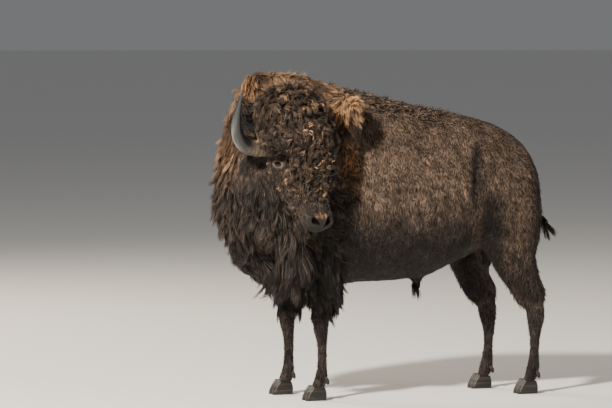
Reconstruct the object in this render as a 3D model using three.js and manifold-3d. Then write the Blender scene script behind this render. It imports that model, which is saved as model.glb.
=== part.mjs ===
// A plains bison bull, life size, standing with its head turned to its left.
// Millimetres, +Z up. The body lies along X with the rump at +X, so the chest is at -X
// and the animal's left flank faces -Y. Every solid reaches out to the tips of the coat.
import * as THREE from "three";
import { mergeVertices } from "three/addons/utils/BufferGeometryUtils.js";
import Module from "manifold-3d";

const wasm = await Module();
wasm.setup();

// Driving dimensions of the animal.
const HUMP_HEIGHT = 1828;
const BARREL_HALF_WIDTH = 400;
const BELLY_HEIGHT = 640;
const CUT = 0.5; // gap left between neighbouring pieces

// How the head is carried: turned from straight ahead to the animal's left, and nose down.
const HEAD_TURN = THREE.MathUtils.degToRad(102);
const NOSE_DOWN = THREE.MathUtils.degToRad(50);
const POLL = new THREE.Vector3(-596, -394, 1408); // midpoint between the horn roots

// Colours and finishes of the pieces.
const finish = (color, roughness, metalness = 0) =>
  new THREE.MeshStandardMaterial({ color, roughness, metalness });
const MATERIALS = {
  short_coat: finish(0x2e221b, 0.85),
  cape_wool: finish(0x5f4128, 0.95),
  head_wool: finish(0x2b1f19, 0.95),
  long_hair: finish(0x1e1713, 0.9),
  nose_skin: finish(0x1c1a1a, 0.5),
  horn: finish(0x4d4a45, 0.4),
  hoof: finish(0x171412, 0.6),
  eye: finish(0x120b07, 0.08),
};

// ---------- shaping tools ----------

const BLUNT = 6; // how squarely the two ends of a swept body are rounded
const EVEN_RINGS = 0.5; // share of even ring spacing; the rest crowds towards the ends

// A closed body swept along stations [x, y, z, side, rise, drop, taper]: its centre, half its
// width, how far it reaches above and below that centre, and how much its top narrows.
function swept(stations, { around = 20, along = 12, blunt = BLUNT, above = [0, 0, 1] } = {}) {
  const centres = new THREE.CatmullRomCurve3(stations.map(([x, y, z]) => new THREE.Vector3(x, y, z)));
  const girths = new THREE.CatmullRomCurve3(stations.map(([, , , s, r, d]) => new THREE.Vector3(s, r, d)));
  const tapers = new THREE.CatmullRomCurve3(stations.map((row, i) => new THREE.Vector3(row[6] ?? 0, i, 0)));
  const reference = new THREE.Vector3(...above);
  const geometry = new THREE.SphereGeometry(1, around, along);
  const place = geometry.getAttribute("position");
  const unit = new THREE.Vector3();
  for (let i = 0; i < place.count; i++) {
    unit.fromBufferAttribute(place, i);
    const even = Math.acos(THREE.MathUtils.clamp(unit.y, -1, 1)) / Math.PI;
    const t = THREE.MathUtils.lerp((1 - unit.y) / 2, even, EVEN_RINGS);
    const round = Math.max(0, 1 - Math.abs(2 * t - 1) ** blunt) ** (1 / blunt);
    const ring = Math.hypot(unit.x, unit.z) || 1;
    const girth = girths.getPoint(t);
    const taper = tapers.getPoint(t).x;
    const upward = -unit.z / ring;
    const sideways = (unit.x / ring) * (1 - taper * Math.max(0, upward));
    const forward = centres.getTangent(t);
    const side = forward.clone().cross(reference).normalize();
    const up = side.clone().cross(forward);
    const point = centres
      .getPoint(t)
      .addScaledVector(side, sideways * girth.x * round)
      .addScaledVector(up, upward * (upward > 0 ? girth.y : girth.z) * round);
    place.setXYZ(i, point.x, point.y, point.z);
  }
  return geometry;
}

// A sphere stretched to three half-lengths about a centre.
const ball = ([x, y, z], [a, b, c], around = 20, rings = 12) =>
  new THREE.SphereGeometry(1, around, rings).rotateX(Math.PI / 2).scale(a, b, c).translate(x, y, z);

// A block between two corners, for cutting.
const block = ([x0, y0, z0], [x1, y1, z1]) =>
  new THREE.BoxGeometry(x1 - x0, y1 - y0, z1 - z0).translate((x0 + x1) / 2, (y0 + y1) / 2, (z0 + z1) / 2);

// The mirror image of a geometry across the animal's midline, faces turned back outwards.
function mirrored(geometry) {
  const other = geometry.clone().scale(1, -1, 1);
  const index = other.getIndex().array;
  for (let i = 0; i < index.length; i += 3) [index[i], index[i + 1]] = [index[i + 1], index[i]];
  return other;
}

// A geometry as a solid, its surface moved out by grow along its normals.
function solid(geometry, grow = 0) {
  const bare = geometry.clone().deleteAttribute("normal").deleteAttribute("uv");
  const merged = mergeVertices(bare, 1e-2);
  merged.computeVertexNormals();
  const place = merged.getAttribute("position").array;
  const normal = merged.getAttribute("normal").array;
  return new wasm.Manifold(
    new wasm.Mesh({
      numProp: 3,
      vertProperties: place.map((value, i) => value + grow * normal[i]),
      triVerts: new Uint32Array(merged.getIndex().array),
    }),
  );
}

// A flesh or hair mass: its solid, and the same a cut's width larger to part its neighbours with.
class Mass {
  constructor(...geometries) {
    const joined = (grow) => geometries.map((g) => solid(g, grow)).reduce((a, b) => a.add(b));
    this.whole = joined(0);
    this.cutter = joined(CUT);
  }
}

// What is left of a solid outside some masses, without the slivers that the cut leaves.
function outside(shape, masses) {
  const left = masses.reduce((rest, mass) => rest.subtract(mass.cutter), shape);
  return left.decompose().reduce((a, b) => (a.volume() > b.volume() ? a : b));
}

const bull = new THREE.Group();

// Adds a solid to the model as a named mesh.
function piece(name, shape, material) {
  const { numProp, vertProperties, triVerts } = shape.getMesh();
  const geometry = new THREE.BufferGeometry();
  const place = new THREE.BufferAttribute(new Float32Array(vertProperties), numProp);
  geometry.setAttribute("position", place).setIndex(new THREE.BufferAttribute(triVerts, 1));
  geometry.computeVertexNormals();
  const mesh = new THREE.Mesh(geometry, material);
  mesh.name = name;
  bull.add(mesh);
}

// ---------- trunk ----------

// Rows of: distance behind the middle, top, bottom, half width, taper.
const WIDEST_LEVEL = 1070;
const TRUNK_ROWS = [
  [-890, 1575, 790, 160, 0.2],
  [-760, 1800, 650, 285, 0.35],
  [-560, HUMP_HEIGHT, 610, 350, 0.45],
  [-330, 1772, 612, 385, 0.42],
  [-60, 1692, 640, BARREL_HALF_WIDTH, 0.34],
  [230, 1628, BELLY_HEIGHT + 5, BARREL_HALF_WIDTH + 5, 0.28],
  [460, 1592, 745, 372, 0.24],
  [660, 1545, 830, 315, 0.2],
  [820, 1470, 900, 262, 0.1],
  [945, 1368, 990, 205, 0],
];
const trunk = new Mass(
  swept(
    TRUNK_ROWS.map(([x, top, bottom, side, taper]) => [
      x,
      0,
      WIDEST_LEVEL,
      side,
      top - WIDEST_LEVEL,
      WIDEST_LEVEL - bottom,
      taper,
    ]),
    { around: 26, along: 16, blunt: 8 },
  ),
);
const CHEST_END = -250;
const LOIN_START = 470;
const BEYOND = 2500; // farther from the middle than any part of the animal
const slab = (from, to) => solid(block([from, -BEYOND, 0], [to, BEYOND, BEYOND]));
const trunkNodes = [
  ["forequarters", -BEYOND, CHEST_END],
  ["barrel", CHEST_END, LOIN_START],
  ["hindquarters", LOIN_START, BEYOND],
];

// ---------- head ----------

// The head is shaped in its own frame: X from the poll to the nose, Y to the animal's left,
// Z out of the forehead. This matrix carries it to the end of the neck.
const headMatrix = (() => {
  const level = new THREE.Vector3(-Math.cos(HEAD_TURN), -Math.sin(HEAD_TURN), 0);
  const left = new THREE.Vector3(0, 0, 1).cross(level);
  const nose = level.clone().multiplyScalar(Math.cos(NOSE_DOWN)).setZ(-Math.sin(NOSE_DOWN));
  const brow = nose.clone().cross(left);
  return new THREE.Matrix4().makeBasis(nose, left, brow).setPosition(POLL);
})();
const inHead = (geometry) => geometry.applyMatrix4(headMatrix);
const headSwept = (stations, options) =>
  swept(stations.map(([along, out, side, rise, drop]) => [along, 0, out, side, rise, drop]), options);

// Rows along the face of: distance from the poll, centre's height, half width, rise, drop.
const skull = headSwept(
  [
    [-140, -50, 110, 60, 90],
    [-30, -30, 160, 85, 180],
    [115, -35, 160, 85, 205],
    [220, -45, 146, 75, 180],
    [320, -60, 116, 62, 145],
    [385, -68, 102, 56, 118],
  ],
  { around: 16, along: 9 },
);
const snout = headSwept(
  [
    [250, -60, 100, 50, 110],
    [380, -66, 98, 56, 92],
    [450, -72, 100, 56, 78],
    [505, -84, 78, 44, 60],
  ],
  { around: 14, along: 7, blunt: 4 },
);
const underJaw = headSwept(
  [
    [60, -170, 95, 60, 75],
    [240, -168, 72, 60, 68],
    [400, -160, 60, 30, 62],
    [462, -150, 44, 22, 46],
  ],
  { around: 12, along: 8, blunt: 4 },
);
const head = new Mass(inHead(skull));
const muzzle = new Mass(inHead(snout));
const jaw = new Mass(inHead(underJaw));

// The wool that stands on the crown between the horns and comes down over the brow. Its top is
// swept over to the animal's right, and it leaves a hollow round each eye.
const crownWool = swept(
  [
    [-240, -40, 60, 140, 120, 120],
    [-150, -50, 115, 220, 170, 170],
    [-30, -48, 130, 246, 165, 190],
    [80, -25, 85, 226, 128, 140],
    [180, 0, 35, 196, 88, 90],
    [270, 0, -5, 150, 60, 60],
    [330, 0, -30, 105, 40, 40],
  ],
  { around: 12, along: 9, blunt: 4 },
);
const wool = new Mass(inHead(crownWool));

// Horns: points on the middle line of the animal's left horn, with the radius at each.
const HORN_ROWS = [
  [-14, 120, -4, 47],
  [-18, 215, -22, 46],
  [-28, 305, -8, 42],
  [-56, 374, 60, 33],
  [-104, 404, 164, 22],
  [-172, 398, 286, 5],
];
const hornShape = (rows) =>
  swept(
    rows.map(([x, y, z, radius]) => [x, y, z, radius, radius, radius]),
    { around: 9, along: 11, blunt: 10, above: [1, 0, 0] },
  );
// The left horn is worn to a stub, so it keeps only the first rows of the right one.
const WORN_ROWS = [
  [-50, 355, 50, 33],
  [-70, 365, 100, 16],
];
const hornLeft = new Mass(inHead(hornShape([...HORN_ROWS.slice(0, 3), ...WORN_ROWS])));
const hornRight = new Mass(inHead(mirrored(hornShape(HORN_ROWS))));

// Eyes: balls sunk in the sides of the skull.
const EYE = { along: 103, side: 143, out: -10, radius: 25 };
const { along, side: eyeSide, out, radius: eyeRadius } = EYE;
const eyeShape = ball([along, eyeSide, out], [eyeRadius, eyeRadius, eyeRadius], 10, 6);
const eyeLeft = new Mass(inHead(eyeShape.clone()));
const eyeRight = new Mass(inHead(mirrored(eyeShape)));

// The hollow that the wool leaves ahead of each eye, wider towards its mouth.
const HOLLOW_ROWS = [
  [-40, -40, -50, 50],
  [0, 0, 0, 66],
  [50, 55, 75, 76],
  [100, 120, 150, 90],
];
const hollowShape = swept(
  HOLLOW_ROWS.map(([x, y, z, wide]) => [along + x, eyeSide + y, out + z, wide, wide, wide]),
  { around: 9, along: 5, above: [1, 0, 0] },
);
const hollows = [inHead(hollowShape.clone()), inHead(mirrored(hollowShape))].map((shape) => new Mass(shape));

// Ears: leaves that hang behind and below the horns. The shoulder folds the left one forwards.
const ear = (rows) => swept(rows, { around: 8, along: 7, blunt: 3, above: [1, 0, 0] });
const earLeft = new Mass(
  inHead(
    ear([
      [-20, 130, -60, 22, 30, 30],
      [30, 190, -66, 26, 42, 42],
      [80, 232, -76, 22, 44, 44],
      [126, 250, -86, 10, 18, 18],
    ]),
  ),
);
const earRight = new Mass(
  inHead(
    ear([
      [-30, -140, -60, 22, 30, 30],
      [-26, -210, -98, 26, 42, 42],
      [-8, -262, -160, 22, 42, 42],
      [24, -248, -236, 10, 18, 18],
    ]),
  ),
);

// ---------- neck and the hair that hangs from it ----------

const neck = new Mass(
  swept(
    [
      [-420, 0, 1150, 285, 540, 440, 0.3],
      [-570, 5, 1150, 300, 622, 450, 0.3],
      [-712, -65, 1150, 294, 684, 385, 0.14],
      [-712, -215, 1215, 224, 566, 360, 0.2],
      [-640, -335, 1290, 200, 415, 325, 0.1],
    ],
    { around: 14, along: 8 },
  ),
  // the crest in front of the hump, and the fold on the side that the head is turned to
  ball([-716, -18, 1638], [123, 126, 191], 10, 7),
  ball([-465, -225, 1330], [215, 165, 320], 10, 7),
);
const throatMane = new Mass(
  swept(
    [
      [-660, -250, 900, 100, 130, 290],
      [-690, -110, 885, 105, 140, 285],
      [-708, 40, 870, 105, 140, 255],
      [-670, 170, 860, 100, 130, 210],
    ],
    { around: 12, along: 8, blunt: 4 },
  ),
);
const beard = new Mass(
  swept(
    [
      [-584, -502, 925, 58, 70, 150],
      [-624, -402, 900, 80, 110, 240],
      [-674, -276, 895, 95, 130, 290],
    ],
    { around: 12, along: 8, blunt: 4 },
  ),
);

// Wool of the left shoulder, pushed up round the horn by the turned head.
const shoulderWool = new Mass(
  ball([-250, -266, 1562], [102, 165, 120], 10, 7),
  ball([-296, -305, 1450], [80, 82, 138], 8, 6),
);

// ---------- legs ----------

// Rows down a leg of: X, Y, Z, half width across, reach forwards, reach backwards.
const down = { above: [-1, 0, 0] };
const SIDES = { left: -1, right: 1 };

// Each foot stands a stride's part ahead of or behind the square stance.
const FORE_STRIDE = { left: 30, right: -40 };
const HIND_STRIDE = { left: 68, right: -68 };

// The rows of a leg on its own side, each shifted by its share of the stride.
const legRows = (side, stride, rows) =>
  rows.map(([x, across, z, half, front, back, share]) => [
    x + stride * share,
    SIDES[side] * across,
    z,
    half,
    front,
    back,
  ]);

// Rows of: place along the body, distance from the midline, height, half width, reach forwards,
// reach backwards, share of the stride.
function foreleg(side) {
  const stride = FORE_STRIDE[side];
  const upper = legRows(side, stride, [
    [-520, 190, 1300, 90, 150, 140, 0],
    [-500, 250, 1120, 120, 190, 190, 0],
    [-430, 250, 880, 120, 150, 170, 0],
    [-415, 225, 700, 105, 120, 160, 0.5],
    [-425, 205, 560, 85, 95, 145, 1],
    [-430, 200, 470, 60, 60, 100, 1],
  ]);
  const lower = legRows(side, stride, [
    [-418, 200, 560, 60, 62, 60, 1],
    [-424, 198, 455, 58, 62, 56, 1],
    [-416, 196, 330, 36, 34, 38, 1],
    [-416, 196, 190, 34, 32, 36, 1],
    [-420, 196, 130, 44, 42, 50, 1],
    [-440, 196, 66, 46, 50, 48, 1],
  ]);
  return {
    upper: new Mass(swept(upper, { ...down, around: 10, along: 9 })),
    lower: new Mass(swept(lower, { ...down, around: 8, along: 9 })),
    foot: [-446 + stride, SIDES[side] * 196],
  };
}

function hindleg(side) {
  const stride = HIND_STRIDE[side];
  const upper = legRows(side, stride, [
    [640, 150, 1330, 90, 150, 180, 0],
    [665, 215, 1150, 110, 205, 245, 0.1],
    [680, 238, 950, 112, 200, 215, 0.35],
    [682, 222, 790, 92, 148, 168, 0.75],
    [732, 200, 655, 62, 112, 105, 1.1],
    [796, 190, 540, 50, 112, 100, 1.1],
    [812, 188, 480, 46, 90, 76, 1.1],
  ]);
  const lower = legRows(side, stride, [
    [812, 188, 520, 40, 70, 60, 1.1],
    [820, 188, 450, 44, 72, 62, 1.1],
    [820, 188, 345, 34, 42, 40, 1],
    [812, 188, 220, 32, 33, 36, 1],
    [804, 188, 140, 42, 42, 50, 1],
    [784, 188, 70, 44, 48, 48, 1],
  ]);
  return {
    upper: new Mass(swept(upper, { ...down, around: 10, along: 9 })),
    lower: new Mass(swept(lower, { ...down, around: 8, along: 9 })),
    foot: [776 + stride, SIDES[side] * 188],
  };
}

// One claw of a cloven hoof: a blunt wedge with a flat sole and its toe towards -X.
const CLAW = { toe: 74, heel: 46, width: 50, height: 84, gap: 5, round: 9 };
function claw([x, y], inward) {
  const { toe, heel, width, height, gap, round } = CLAW;
  const outline = new THREE.Shape();
  outline.moveTo(-toe, 0);
  outline.quadraticCurveTo(-toe, height * 0.35, -toe * 0.45, height);
  outline.lineTo(heel * 0.8, height * 0.86);
  outline.quadraticCurveTo(heel * 1.15, height * 0.4, heel * 0.9, 0);
  outline.closePath();
  const depth = width - 2 * round;
  const middle = y + inward * (width + gap) / 2;
  return new THREE.ExtrudeGeometry(outline, {
    depth,
    bevelSize: round,
    bevelOffset: -round,
    bevelThickness: round,
    bevelSegments: 1,
    curveSegments: 3,
  })
    .rotateX(Math.PI / 2)
    .translate(x, middle + depth / 2, 0);
}

// A pair of dewclaws behind the fetlock.
const dewclaw = ([x, y], inward) =>
  ball([x + 62, y + inward * 26, 108], [13, 12, 22], 6, 4);

// ---------- tail and belly ----------

const dock = new Mass(
  swept(
    [
      [880, 0, 1330, 38, 36, 36],
      [948, 0, 1250, 34, 30, 30],
      [972, -4, 1120, 28, 26, 26],
      [985, -8, 1010, 22, 22, 22],
    ],
    { around: 8, along: 10, above: [-1, 0, 0] },
  ),
);
const tailTuft = new Mass(
  swept(
    [
      [982, -8, 1040, 26, 26, 26],
      [998, -10, 975, 30, 30, 30],
      [1040, -14, 930, 26, 24, 24],
      [1094, -18, 914, 10, 10, 10],
    ],
    { around: 8, along: 8, above: [-1, 0, 0], blunt: 4 },
  ),
);
const sheath = new Mass(
  swept(
    [
      [250, 0, 700, 42, 60, 60],
      [240, 0, 640, 34, 44, 46],
      [262, 0, 556, 14, 16, 18],
    ],
    { around: 10, along: 7, above: [-1, 0, 0], blunt: 3 },
  ),
);
const scrotum = new Mass(
  swept(
    [
      [640, 0, 860, 50, 50, 50],
      [650, 0, 760, 54, 50, 52],
      [655, 0, 680, 40, 38, 40],
    ],
    { around: 10, along: 7, above: [-1, 0, 0], blunt: 3 },
  ),
);

// ---------- parting the whole animal into its pieces ----------

const { short_coat, cape_wool, head_wool, long_hair, nose_skin, horn, hoof, eye } = MATERIALS;
const horns = [hornLeft, hornRight];
const eyes = [eyeLeft, eyeRight];
for (const [name, from, to] of trunkNodes) {
  const cut = trunk.whole.intersect(slab(from + CUT / 2, to - CUT / 2));
  piece(name, outside(cut, [hornLeft, earLeft]), name === "forequarters" ? cape_wool : short_coat);
}
piece("horn_left", hornLeft.whole, horn);
piece("horn_right", hornRight.whole, horn);
piece("eye_left", eyeLeft.whole, eye);
piece("eye_right", eyeRight.whole, eye);
piece("head", outside(head.whole, [...horns, ...eyes, trunk]), head_wool);
piece("muzzle", outside(muzzle.whole, [head, trunk]), nose_skin);
piece("jaw", outside(jaw.whole, [head, muzzle, trunk]), long_hair);
piece("crown_wool", outside(wool.whole, [head, trunk, ...horns, ...hollows]), head_wool);
piece("ear_left", outside(earLeft.whole, [head, wool, hornLeft]), head_wool);
piece("ear_right", outside(earRight.whole, [head, wool, hornRight]), head_wool);
const headParts = [head, wool, muzzle, jaw, earLeft, earRight, ...horns, ...eyes];
piece("neck", outside(neck.whole, [trunk, ...headParts]), cape_wool);
piece("beard", outside(beard.whole, [neck, trunk, ...headParts]), long_hair);
piece("throat_mane", outside(throatMane.whole, [beard, neck, trunk, ...headParts]), long_hair);
piece("shoulder_wool", outside(shoulderWool.whole, [neck, trunk, ...headParts]), cape_wool);

const hung = [trunk, neck, beard, throatMane, ...headParts];
for (const side of Object.keys(SIDES)) {
  for (const [kind, leg] of [["fore", foreleg(side)], ["hind", hindleg(side)]]) {
    const name = `${kind}leg_${side}`;
    const claws = [-1, 1].map((inward) => new Mass(claw(leg.foot, inward)));
    const spurs = [-1, 1].map((inward) => new Mass(dewclaw(leg.foot, inward)));
    piece(`${name}_upper`, outside(leg.upper.whole, hung), kind === "fore" ? long_hair : short_coat);
    piece(`${name}_lower`, outside(leg.lower.whole, [leg.upper, ...hung, ...claws, ...spurs]), short_coat);
    claws.forEach((half, i) => piece(`${name}_hoof_${i ? "right" : "left"}`, half.whole, hoof));
    spurs.forEach((spur, i) => piece(`${name}_dewclaw_${i ? "right" : "left"}`, spur.whole, hoof));
  }
}
piece("tail", outside(dock.whole, [trunk]), short_coat);
piece("tail_tuft", outside(tailTuft.whole, [dock, trunk]), long_hair);
piece("sheath", outside(sheath.whole, [trunk]), long_hair);
piece("scrotum", outside(scrotum.whole, [trunk]), short_coat);

// The origin is on the floor, under the middle of the animal's own box.
const box = new THREE.Box3().setFromObject(bull);
const middle = box.getCenter(new THREE.Vector3());
bull.position.set(-middle.x, -middle.y, -box.min.z);

export default bull;
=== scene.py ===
import math

import bmesh
import bpy
import numpy as np
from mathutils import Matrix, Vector
from mathutils.bvhtree import BVHTree
from mathutils.kdtree import KDTree


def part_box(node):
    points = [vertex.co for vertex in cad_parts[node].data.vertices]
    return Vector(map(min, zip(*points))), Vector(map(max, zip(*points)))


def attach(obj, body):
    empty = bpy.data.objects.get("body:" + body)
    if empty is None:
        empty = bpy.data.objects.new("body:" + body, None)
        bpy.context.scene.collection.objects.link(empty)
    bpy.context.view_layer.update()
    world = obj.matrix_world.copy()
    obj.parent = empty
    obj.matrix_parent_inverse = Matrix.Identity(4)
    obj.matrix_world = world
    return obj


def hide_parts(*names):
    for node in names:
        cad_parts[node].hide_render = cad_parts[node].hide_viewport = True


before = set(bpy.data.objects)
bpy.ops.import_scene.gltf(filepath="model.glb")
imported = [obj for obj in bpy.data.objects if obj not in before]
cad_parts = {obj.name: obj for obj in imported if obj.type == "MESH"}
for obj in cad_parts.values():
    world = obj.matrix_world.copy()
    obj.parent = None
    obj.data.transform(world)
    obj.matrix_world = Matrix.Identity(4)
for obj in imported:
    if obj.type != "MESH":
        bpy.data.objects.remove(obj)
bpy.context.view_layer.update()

# ---------- camera ----------
# It stands twenty metres off at a standing person's eye level, a little ahead of the bull's
# left side, with a long lens.


def middle(node):
    """The centre of a CAD node's box."""
    low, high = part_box(node)
    return (low + high) / 2


def added(name, data):
    """A new object in the scene."""
    thing = bpy.data.objects.new(name, data)
    bpy.context.scene.collection.objects.link(thing)
    return thing


UP = Vector((0, 0, 1))
barrel_low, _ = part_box("barrel")
# The body frame: its origin is on the floor under the withers, on the animal's midline.
WITHERS_AHEAD = 0.25
TAIL_OFF_LINE = 0.004
BODY = Vector((barrel_low.x + WITHERS_AHEAD, middle("tail").y + TAIL_OFF_LINE, 0))
CAMERA_TURN = math.radians(18.0)
CAMERA_DISTANCE = 20.0
CAMERA_ASIDE = 0.393
CAMERA_HEIGHT = 1.98
CAMERA_PITCH = math.radians(2.59)
CAMERA_LENS = 209.4

look = Vector((math.sin(CAMERA_TURN), math.cos(CAMERA_TURN), 0))
aside = look.cross(UP)
camera_data = bpy.data.cameras.new("camera")
camera_data.lens = CAMERA_LENS
camera = added("camera", camera_data)
camera.location = BODY - CAMERA_DISTANCE * look - CAMERA_ASIDE * aside + CAMERA_HEIGHT * UP
camera.rotation_euler = (math.pi / 2 - CAMERA_PITCH, 0, -CAMERA_TURN)
bpy.context.scene.camera = camera

# ---------- floor and light ----------
# A pale studio floor and backdrop, a broad soft lamp high on the left of the camera, a weaker one
# low on the right, and one behind that lights the edges of the coat.

FLOOR_COLOUR = (0.86, 0.84, 0.81, 1)
SKY_COLOUR = (0.80, 0.82, 0.85, 1)
SKY_STRENGTH = 0.22
FLOOR_SIZE = 900.0
FLOOR_ROUGHNESS = 0.9
LAMPS_AIM = Vector((0, 0, 1.0))
LAMPS = {
    "key": {"at": (-8.8, -7.9, 8.3), "size": 1.2, "watts": 4800, "colour": (1.0, 0.93, 0.82)},
    "fill": {"at": (7.5, -7.0, 3.0), "size": 5.0, "watts": 150, "colour": (0.92, 0.95, 1.0)},
    "back": {"at": (-4.5, 9.0, 6.5), "size": 4.0, "watts": 900, "colour": (1.0, 0.86, 0.66)},
}


def to_data(name, shape):
    """The mesh data of a finished bmesh."""
    data = bpy.data.meshes.new(name)
    shape.to_mesh(data)
    shape.free()
    return data


floor_mesh = bmesh.new()
bmesh.ops.create_grid(floor_mesh, x_segments=1, y_segments=1, size=FLOOR_SIZE)
floor_data = to_data("floor", floor_mesh)
floor = added("floor", floor_data)
floor_finish = bpy.data.materials.new("studio_floor")
floor_finish.use_nodes = True
floor_shader = floor_finish.node_tree.nodes["Principled BSDF"]
floor_shader.inputs["Base Color"].default_value = FLOOR_COLOUR
floor_shader.inputs["Roughness"].default_value = FLOOR_ROUGHNESS
floor_data.materials.append(floor_finish)

world = bpy.data.worlds.new("studio")
world.use_nodes = True
sky = world.node_tree.nodes["Background"]
sky.inputs["Color"].default_value = SKY_COLOUR
sky.inputs["Strength"].default_value = SKY_STRENGTH
bpy.context.scene.world = world

for name, lamp in LAMPS.items():
    lamp_data = bpy.data.lights.new(name, "AREA")
    lamp_data.shape = "DISK"
    lamp_data.size = lamp["size"]
    lamp_data.energy = lamp["watts"]
    lamp_data.color = lamp["colour"]
    lamp_object = added(name, lamp_data)
    lamp_object.location = lamp["at"]
    aim = LAMPS_AIM - lamp_object.location
    lamp_object.rotation_euler = aim.to_track_quat("-Z", "Y").to_euler()

# ---------- skin ----------
# One hide over the whole animal with no seam: leather with short hair on it. It lies under the
# coat by the coat's depth, and is drawn from the solids: they are joined, made even, and taken in
# by what the coat of each part needs.

# The head's own frame: its origin is at the poll, and its axes run to the nose, to the animal's
# left and out of the brow.
NOSE_DOWN = math.radians(50)
EYE_ALONG = 0.103
EYE_OUT = -0.010
eye_middle = {side: middle(f"eye_{side}") for side in ("left", "right")}
TO_LEFT = (eye_middle["left"] - eye_middle["right"]).normalized()
TO_NOSE = math.cos(NOSE_DOWN) * TO_LEFT.cross(UP) - math.sin(NOSE_DOWN) * UP
TO_BROW = TO_NOSE.cross(TO_LEFT)
POLL = (eye_middle["left"] + eye_middle["right"]) / 2 - EYE_ALONG * TO_NOSE - EYE_OUT * TO_BROW
HEAD_AXES = np.array([TO_NOSE, TO_LEFT, TO_BROW])


def in_head(points):
    """Points of the row's frame, as seen in the head's frame."""
    return (points - np.array(POLL)) @ HEAD_AXES.T


def from_head(points):
    """Points of the head's frame, carried out to the row's frame."""
    return np.asarray(points) @ HEAD_AXES + np.array(POLL)


# What the coat is like on each solid. All lengths in metres: how deep the skin lies below the
# solid's face, a tuft's length and width, the spacing of the roots, the tuft's rise from the skin
# in degrees, how far its own weight bends it, how many turns it curls, and the size of a lock.
COAT_KEYS = ("depth", "length", "width", "spacing", "rise", "droop", "curl", "lock")
COAT = {
    "crown_wool": (0.015, 0.062, 0.0046, 0.0064, 54, 0.10, 0.66, 0.018),
    "head": (0.010, 0.034, 0.0042, 0.0068, 36, 0.20, 0.50, 0.016),
    "muzzle": (0.002, 0.015, 0.0026, 0.0050, 14, 0.10, 0.00, 0.010),
    "jaw": (0.014, 0.060, 0.0042, 0.0070, 25, 0.80, 0.15, 0.022),
    "ear": (0.002, 0.046, 0.0036, 0.0052, 20, 0.60, 0.05, 0.014),
    "neck": (0.036, 0.104, 0.0048, 0.0074, 25, 0.70, 0.16, 0.027),
    "beard": (0.034, 0.170, 0.0052, 0.0066, 16, 1.00, 0.12, 0.032),
    "throat_mane": (0.040, 0.160, 0.0056, 0.0070, 18, 0.90, 0.12, 0.032),
    "shoulder_wool": (0.012, 0.066, 0.0044, 0.0062, 28, 0.45, 0.20, 0.024),
    "forequarters": (0.020, 0.056, 0.0054, 0.0098, 24, 0.20, 0.24, 0.034),
    "foreleg_upper": (0.026, 0.110, 0.0054, 0.0074, 18, 0.90, 0.10, 0.034),
    "barrel": (0.005, 0.034, 0.0032, 0.0124, 8, 0.06, 0.00, 0.020),
    "hindquarters": (0.005, 0.034, 0.0032, 0.0124, 8, 0.06, 0.00, 0.020),
    "hindleg_upper": (0.006, 0.040, 0.0034, 0.0106, 13, 0.15, 0.00, 0.022),
    "leg_lower": (0.004, 0.026, 0.0030, 0.0080, 14, 0.10, 0.00, 0.014),
    "tail": (0.004, 0.030, 0.0034, 0.0066, 10, 0.10, 0.00, 0.014),
    "tail_tuft": (0.012, 0.100, 0.0036, 0.0036, 5, 0.25, 0.05, 0.040),
    "sheath": (0.010, 0.080, 0.0040, 0.0048, 14, 0.60, 0.05, 0.022),
    "scrotum": (0.004, 0.012, 0.0034, 0.0074, 10, 0.10, 0.00, 0.014),
    "bare": (0.009, 0.001, 0.0020, 0.0200, 10, 0.00, 0.00, 0.014),
}
KINDS = list(COAT)
LEGS = [f"{pair}leg_{side}" for pair in ("fore", "hind") for side in ("left", "right")]
CLAWS = [f"{leg}_hoof_{claw}" for leg in LEGS for claw in ("left", "right")]
DEWCLAWS = [f"{leg}_dewclaw_{claw}" for leg in LEGS for claw in ("left", "right")]
# Which kind of coat grows on each node of flesh.
FLESH = {node: node for node in ("forequarters", "barrel", "hindquarters")}
FLESH |= {node: node for node in ("head", "muzzle", "jaw", "crown_wool")}
FLESH |= {"ear_left": "ear", "ear_right": "ear"}
FLESH |= {node: node for node in ("neck", "beard", "throat_mane", "shoulder_wool")}
FLESH |= {node: node for node in ("tail", "tail_tuft", "sheath", "scrotum")}
for leg in LEGS:
    FLESH[f"{leg}_upper"] = "foreleg_upper" if leg.startswith("fore") else "hindleg_upper"
    FLESH[f"{leg}_lower"] = "leg_lower"
# The skin runs on under the eyeballs, the hoof capsules and the horn sheaths, whose bony cores
# reach this far out from the middle of the head.
UNDER_HORNY = ["eye_left", "eye_right", "horn_left", "horn_right", *CLAWS]
HORN_CORE = 0.225
SAME_PLACE = 1e-5  # points nearer than this are one
FIRST_VOXEL = 0.013
LAST_VOXEL = 0.0105


def evened(mesh, size):
    """A mesh's outer face, as one closed mesh of even small squares."""
    carrier = added("carrier", mesh)
    remesh = carrier.modifiers.new("even", "REMESH")
    remesh.mode = "VOXEL"
    remesh.voxel_size = size
    graph = bpy.context.evaluated_depsgraph_get()
    result = bpy.data.meshes.new_from_object(carrier.evaluated_get(graph))
    bpy.data.objects.remove(carrier)
    return result


def keep_largest(shape):
    """Drops the loose bubbles inside the largest connected shell of a bmesh."""
    shape.verts.ensure_lookup_table()
    unseen = set(shape.verts)
    shells = []
    while unseen:
        stack = [unseen.pop()]
        shell = list(stack)
        while stack:
            for edge in stack.pop().link_edges:
                for vertex in edge.verts:
                    if vertex in unseen:
                        unseen.discard(vertex)
                        stack.append(vertex)
                        shell.append(vertex)
        shells.append(shell)
    shells.sort(key=len)
    for shell in shells[:-1]:
        bmesh.ops.delete(shape, geom=shell, context="VERTS")


def read(rows, name, width, kind=np.float32):
    """One property of all of a mesh's vertices, edges or corners, as an array."""
    flat = np.empty(len(rows) * width, kind)
    rows.foreach_get(name, flat)
    return flat.reshape(-1, width)


def positions(mesh):
    """A mesh's vertex places."""
    return read(mesh.vertices, "co", 3).astype(float)


def vertex_normals(mesh):
    """A mesh's vertex normals."""
    return read(mesh.vertex_normals, "vector", 3).astype(float)


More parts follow.
